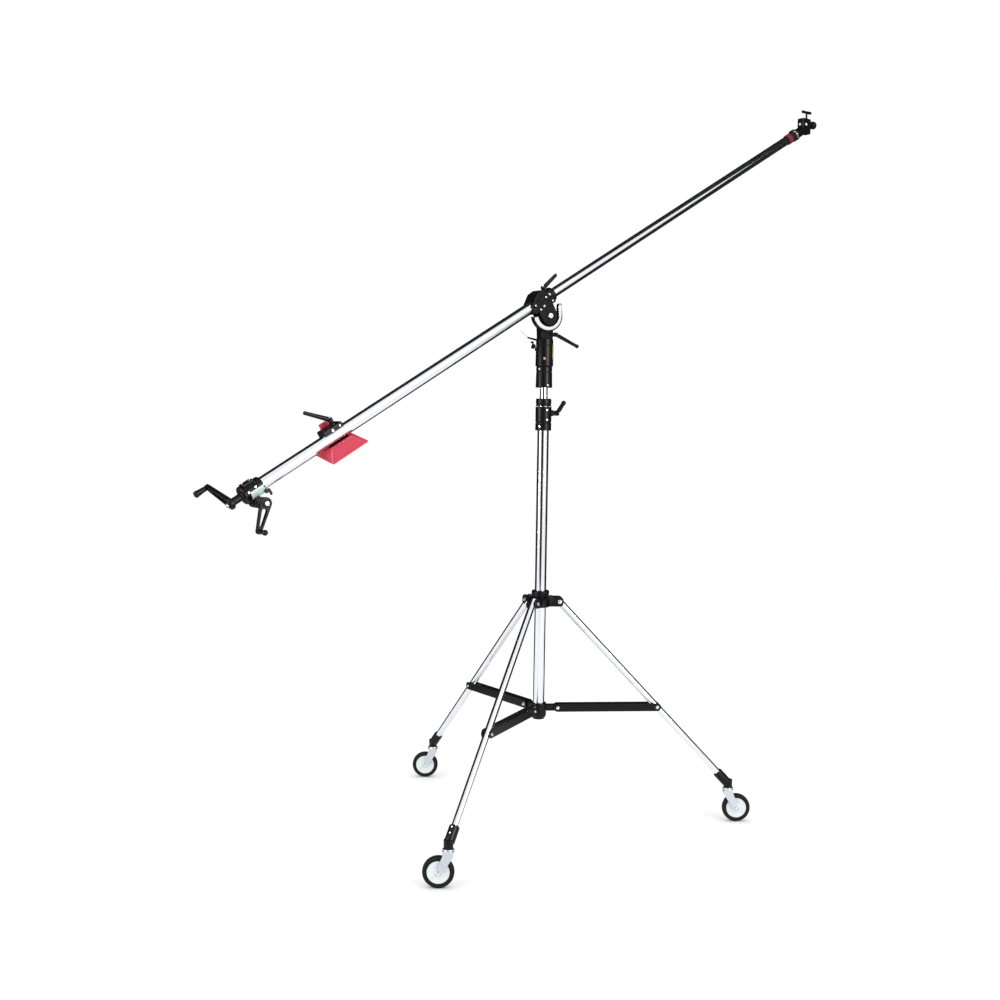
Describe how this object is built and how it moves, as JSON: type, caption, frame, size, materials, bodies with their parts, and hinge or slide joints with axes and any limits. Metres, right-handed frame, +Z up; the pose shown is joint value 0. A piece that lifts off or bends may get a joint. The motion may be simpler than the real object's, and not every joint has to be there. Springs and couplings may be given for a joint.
{
  "type": "boom pole",
  "caption": "Wheeled folding stand with telescoping risers, carrying a tilting, telescoping boom pole with a counterweight, hand cranks and a lamp or microphone head at its tip.",
  "frame": {"origin": "centre of the overall plan outline, on the floor under the wheels", "axes": "+Z up; the boom runs in a vertical plane along +X, rising towards +X; +Y across the boom"},
  "size_m": [2.5784, 1.1499, 2.6795],
  "materials": {
    "column_tube": "bright plated tube",
    "bottom_hub": "satin black enamel on a casting",
    "lower_lock_collar": "satin black enamel on a casting",
    "leg_collar": "satin black enamel on a casting",
    "leg_pivot_bolt_rear": "zinc plated bolt",
    "leg_pivot_bolt_front": "zinc plated bolt",
    "leg_pivot_bolt_side": "zinc plated bolt",
    "leg_collar_knob": "black moulded grip",
    "leg_tube_rear": "bright plated tube",
    "leg_foot_rear": "satin black enamel on a casting",
    "spreader_arm_rear": "satin black enamel on a casting",
    "caster_fork_rear": "zinc plated pressing",
    "tyre_rear": "black rubber tread",
    "wheel_disc_rear": "pale moulded disc",
    "leg_tube_front": "bright plated tube",
    "leg_foot_front": "satin black enamel on a casting",
    "spreader_arm_front": "satin black enamel on a casting",
    "caster_fork_front": "zinc plated pressing",
    "tyre_front": "black rubber tread",
    "wheel_disc_front": "pale moulded disc",
    "leg_tube_side": "bright plated tube",
    "leg_foot_side": "satin black enamel on a casting",
    "spreader_arm_side": "satin black enamel on a casting",
    "caster_fork_side": "zinc plated pressing",
    "tyre_side": "black rubber tread",
    "wheel_disc_side": "pale moulded disc",
    "riser_middle_tube": "bright plated tube",
    "upper_lock_collar": "satin black enamel on a casting",
    "upper_collar_knob": "black moulded grip",
    "lower_collar_lever": "satin black enamel on a casting",
    "riser_top_tube": "bright plated tube",
    "riser_head": "satin black enamel on a casting",
    "boom_receiver": "satin black enamel on a casting",
    "receiver_knob": "black moulded grip",
    "tilt_lock_lever": "satin black enamel on a casting",
    "clamp_base": "satin black enamel on a casting",
    "clamp_cap": "satin black enamel on a casting",
    "clamp_rim": "polished rim",
    "pivot_bolt": "bright turned bolt",
    "clamp_lever": "satin black enamel on a casting",
    "boom_outer_tube": "bright plated tube",
    "boom_lock_collar": "satin black enamel on a casting",
    "gear_housing": "satin black enamel on a casting",
    "boom_inner_tube": "bright plated tube",
    "shaft_bearing": "turned sleeve",
    "boom_end_ring": "dark red enamel",
    "counterweight": "red enamel on a cast block",
    "counterweight_jaw": "satin black enamel on a casting",
    "counterweight_lever": "satin black enamel on a casting",
    "roll_crank_arm": "satin black enamel on a casting",
    "drive_shaft_rear": "bright drawn tube",
    "roll_crank_grip": "black moulded grip",
    "tilt_crank_arm": "satin black enamel on a casting",
    "tilt_crank_grip": "black moulded grip",
    "head_fork": "satin black enamel on a casting",
    "drive_shaft_front": "bright drawn bar",
    "head_pivot_bolt": "zinc plated bolt",
    "head_block": "satin black enamel on a casting",
    "head_knob": "black moulded grip",
    "head_t_handle": "satin black enamel on a casting"
  },
  "bodies": {
    "column": {"column_tube": "column_tube", "bottom_hub": "bottom_hub", "lower_lock_collar": "lower_lock_collar"},
    "leg_collar": {"leg_collar": "leg_collar", "leg_pivot_bolt_rear": "leg_pivot_bolt_rear", "leg_pivot_bolt_front": "leg_pivot_bolt_front", "leg_pivot_bolt_side": "leg_pivot_bolt_side"},
    "leg_collar_knob": {"leg_collar_knob": "leg_collar_knob"},
    "leg_rear": {"leg_tube_rear": "leg_tube_rear", "leg_foot_rear": "leg_foot_rear"},
    "arm_rear": {"spreader_arm_rear": "spreader_arm_rear"},
    "caster_rear": {"caster_fork_rear": "caster_fork_rear"},
    "wheel_rear": {"tyre_rear": "tyre_rear", "wheel_disc_rear": "wheel_disc_rear"},
    "leg_front": {"leg_tube_front": "leg_tube_front", "leg_foot_front": "leg_foot_front"},
    "arm_front": {"spreader_arm_front": "spreader_arm_front"},
    "caster_front": {"caster_fork_front": "caster_fork_front"},
    "wheel_front": {"tyre_front": "tyre_front", "wheel_disc_front": "wheel_disc_front"},
    "leg_side": {"leg_tube_side": "leg_tube_side", "leg_foot_side": "leg_foot_side"},
    "arm_side": {"spreader_arm_side": "spreader_arm_side"},
    "caster_side": {"caster_fork_side": "caster_fork_side"},
    "wheel_side": {"tyre_side": "tyre_side", "wheel_disc_side": "wheel_disc_side"},
    "riser_middle": {"riser_middle_tube": "riser_middle_tube", "upper_lock_collar": "upper_lock_collar"},
    "upper_collar_knob": {"upper_collar_knob": "upper_collar_knob"},
    "lower_collar_lever": {"lower_collar_lever": "lower_collar_lever"},
    "riser_top": {"riser_top_tube": "riser_top_tube", "riser_head": "riser_head"},
    "receiver": {"boom_receiver": "boom_receiver"},
    "receiver_knob": {"receiver_knob": "receiver_knob"},
    "tilt_lock_lever": {"tilt_lock_lever": "tilt_lock_lever"},
    "clamp": {"clamp_base": "clamp_base", "clamp_cap": "clamp_cap", "clamp_rim": "clamp_rim", "pivot_bolt": "pivot_bolt"},
    "clamp_lever": {"clamp_lever": "clamp_lever"},
    "boom_outer": {"boom_outer_tube": "boom_outer_tube", "boom_lock_collar": "boom_lock_collar", "gear_housing": "gear_housing"},
    "boom_inner": {"boom_inner_tube": "boom_inner_tube", "shaft_bearing": "shaft_bearing", "boom_end_ring": "boom_end_ring"},
    "counterweight": {"counterweight": "counterweight", "counterweight_jaw": "counterweight_jaw"},
    "counterweight_lever": {"counterweight_lever": "counterweight_lever"},
    "roll_crank": {"roll_crank_arm": "roll_crank_arm", "drive_shaft_rear": "drive_shaft_rear"},
    "roll_grip": {"roll_crank_grip": "roll_crank_grip"},
    "tilt_crank": {"tilt_crank_arm": "tilt_crank_arm"},
    "tilt_grip": {"tilt_crank_grip": "tilt_crank_grip"},
    "head_fork": {"head_fork": "head_fork", "drive_shaft_front": "drive_shaft_front", "head_pivot_bolt": "head_pivot_bolt"},
    "head_block": {"head_block": "head_block"},
    "head_knob": {"head_knob": "head_knob"},
    "head_t_handle": {"head_t_handle": "head_t_handle"}
  },
  "joints": [
    {"name": "leg_collar_slide", "type": "slide", "parent": "column", "child": "leg_collar", "axis": [0, 0, 1], "range_m": [0, 0.497]},
    {"name": "leg_collar_knob_turn", "type": "hinge", "parent": "leg_collar", "child": "leg_collar_knob", "pos_m": [-0.053, -0.173, 0.815], "axis": [0, -1, 0], "continuous": true},
    {"name": "leg_fold_rear", "type": "hinge", "parent": "leg_collar", "child": "leg_rear", "pos_m": [-0.053, -0.106, 0.799], "axis": [-1, 0, 0], "range_deg": [0, 40]},
    {"name": "arm_fold_rear", "type": "hinge", "parent": "column", "child": "arm_rear", "pos_m": [-0.053, -0.106, 0.42], "axis": [1, 0, 0], "range_deg": [0, 85]},
    {"name": "caster_swivel_rear", "type": "hinge", "parent": "leg_rear", "child": "caster_rear", "pos_m": [-0.053, 0.52085, 0.118], "axis": [0, 0, 1], "continuous": true},
    {"name": "wheel_spin_rear", "type": "hinge", "parent": "caster_rear", "child": "wheel_rear", "pos_m": [-0.07727, 0.53848, 0.05], "axis": [-0.5878, -0.809, 0], "continuous": true},
    {"name": "leg_fold_front", "type": "hinge", "parent": "leg_collar", "child": "leg_front", "pos_m": [-0.11102, -0.2065, 0.799], "axis": [0.5, -0.866, 0], "range_deg": [0, 40]},
    {"name": "arm_fold_front", "type": "hinge", "parent": "column", "child": "arm_front", "pos_m": [-0.11102, -0.2065, 0.42], "axis": [-0.5, 0.866, 0], "range_deg": [0, 85]},
    {"name": "caster_swivel_front", "type": "hinge", "parent": "leg_front", "child": "caster_front", "pos_m": [-0.65389, -0.51992, 0.118], "axis": [0, 0, 1], "continuous": true},
    {"name": "wheel_spin_front", "type": "hinge", "parent": "caster_front", "child": "wheel_front", "pos_m": [-0.67816, -0.50229, 0.05], "axis": [-0.5878, -0.809, 0], "continuous": true},
    {"name": "leg_fold_side", "type": "hinge", "parent": "leg_collar", "child": "leg_side", "pos_m": [0.00502, -0.2065, 0.799], "axis": [0.5, 0.866, 0], "range_deg": [0, 40]},
    {"name": "arm_fold_side", "type": "hinge", "parent": "column", "child": "arm_side", "pos_m": [0.00502, -0.2065, 0.42], "axis": [-0.5, -0.866, 0], "range_deg": [0, 85]},
    {"name": "caster_swivel_side", "type": "hinge", "parent": "leg_side", "child": "caster_side", "pos_m": [0.54789, -0.51992, 0.118], "axis": [0, 0, 1], "continuous": true},
    {"name": "wheel_spin_side", "type": "hinge", "parent": "caster_side", "child": "wheel_side", "pos_m": [0.57216, -0.53756, 0.05], "axis": [0.5878, 0.809, 0], "continuous": true},
    {"name": "middle_riser_slide", "type": "slide", "parent": "column", "child": "riser_middle", "axis": [0, 0, 1], "range_m": [0, 0.75]},
    {"name": "upper_collar_knob_turn", "type": "hinge", "parent": "riser_middle", "child": "upper_collar_knob", "pos_m": [-0.053, -0.173, 1.49665], "axis": [0.5736, 0.8192, 0], "continuous": true},
    {"name": "lower_collar_lever_turn", "type": "hinge", "parent": "column", "child": "lower_collar_lever", "pos_m": [-0.053, -0.173, 1.46], "axis": [0.809, -0.5878, 0], "continuous": true},
    {"name": "top_riser_slide", "type": "slide", "parent": "riser_middle", "child": "riser_top", "axis": [0, 0, 1], "range_m": [-0.036, 0.65]},
    {"name": "receiver_swivel", "type": "hinge", "parent": "riser_top", "child": "receiver", "pos_m": [-0.053, -0.173, 1.65], "axis": [0, 0, 1], "continuous": true},
    {"name": "receiver_knob_turn", "type": "hinge", "parent": "receiver", "child": "receiver_knob", "pos_m": [-0.053, -0.173, 1.692], "axis": [-0.809, 0.5878, 0], "continuous": true},
    {"name": "tilt_lock_lever_turn", "type": "hinge", "parent": "receiver", "child": "tilt_lock_lever", "pos_m": [-0.053, -0.173, 1.732], "axis": [0.809, -0.5878, 0], "range_deg": [-50, 50]},
    {"name": "boom_tilt", "type": "hinge", "parent": "receiver", "child": "clamp", "pos_m": [-0.053, -0.173, 1.7957], "axis": [0, -1, 0], "range_deg": [-60, 30]},
    {"name": "clamp_lever_turn", "type": "hinge", "parent": "clamp", "child": "clamp_lever", "pos_m": [-0.06071, -0.179, 1.88232], "axis": [-0.5041, 0, 0.8637], "range_deg": [-95, 95]},
    {"name": "boom_slide", "type": "slide", "parent": "clamp", "child": "boom_outer", "axis": [0.8637, 0, 0.5041], "range_m": [0, 0.3]},
    {"name": "boom_extension", "type": "slide", "parent": "boom_outer", "child": "boom_inner", "axis": [0.8637, 0, 0.5041], "range_m": [-0.35, 0.45]},
    {"name": "counterweight_slide", "type": "slide", "parent": "boom_outer", "child": "counterweight", "axis": [0.8637, 0, 0.5041], "range_m": [-0.15, 0.2]},
    {"name": "counterweight_lever_turn", "type": "hinge", "parent": "counterweight", "child": "counterweight_lever", "pos_m": [-0.87825, -0.169, 1.42022], "axis": [-0.5041, 0, 0.8637], "range_deg": [-100, 100]},
    {"name": "roll_crank_turn", "type": "hinge", "parent": "boom_outer", "child": "roll_crank", "pos_m": [-1.21131, -0.173, 1.18148], "axis": [0.8637, 0, 0.5041], "continuous": true},
    {"name": "roll_grip_spin", "type": "hinge", "parent": "roll_crank", "child": "roll_grip", "pos_m": [-1.26242, -0.059, 1.20954], "axis": [-0.8637, 0, -0.5041], "continuous": true},
    {"name": "tilt_crank_turn", "type": "hinge", "parent": "boom_outer", "child": "tilt_crank", "pos_m": [-1.13465, -0.233, 1.18107], "axis": [0, -1, 0], "range_deg": [-360, 360]},
    {"name": "tilt_grip_spin", "type": "hinge", "parent": "tilt_crank", "child": "tilt_grip", "pos_m": [-1.15652, -0.263, 1.09789], "axis": [0, -1, 0], "continuous": true},
    {"name": "head_roll", "type": "hinge", "parent": "boom_inner", "child": "head_fork", "pos_m": [1.17239, -0.173, 2.57273], "axis": [0.8637, 0, 0.5041], "continuous": true},
    {"name": "head_tilt", "type": "hinge", "parent": "head_fork", "child": "head_block", "pos_m": [1.21989, -0.173, 2.60045], "axis": [0, 1, 0], "range_deg": [-60, 60]},
    {"name": "head_knob_turn", "type": "hinge", "parent": "head_block", "child": "head_knob", "pos_m": [1.25389, -0.173, 2.62745], "axis": [1, 0, 0], "continuous": true},
    {"name": "head_t_handle_turn", "type": "hinge", "parent": "head_block", "child": "head_t_handle", "pos_m": [1.24189, -0.173, 2.64645], "axis": [0, 0, 1], "continuous": true}
  ],
  "couplings": [
    {"joint": "leg_fold_rear", "follows": "leg_collar_slide", "rad_per_m": 1.3949},
    {"joint": "arm_fold_rear", "follows": "leg_collar_slide", "rad_per_m": 2.9744},
    {"joint": "leg_fold_front", "follows": "leg_collar_slide", "rad_per_m": 1.3949},
    {"joint": "arm_fold_front", "follows": "leg_collar_slide", "rad_per_m": 2.9744},
    {"joint": "leg_fold_side", "follows": "leg_collar_slide", "rad_per_m": 1.3949},
    {"joint": "arm_fold_side", "follows": "leg_collar_slide", "rad_per_m": 2.9744},
    {"joint": "roll_crank_turn", "follows": "head_roll", "ratio": 1},
    {"joint": "tilt_crank_turn", "follows": "head_tilt", "ratio": -6}
  ]
}
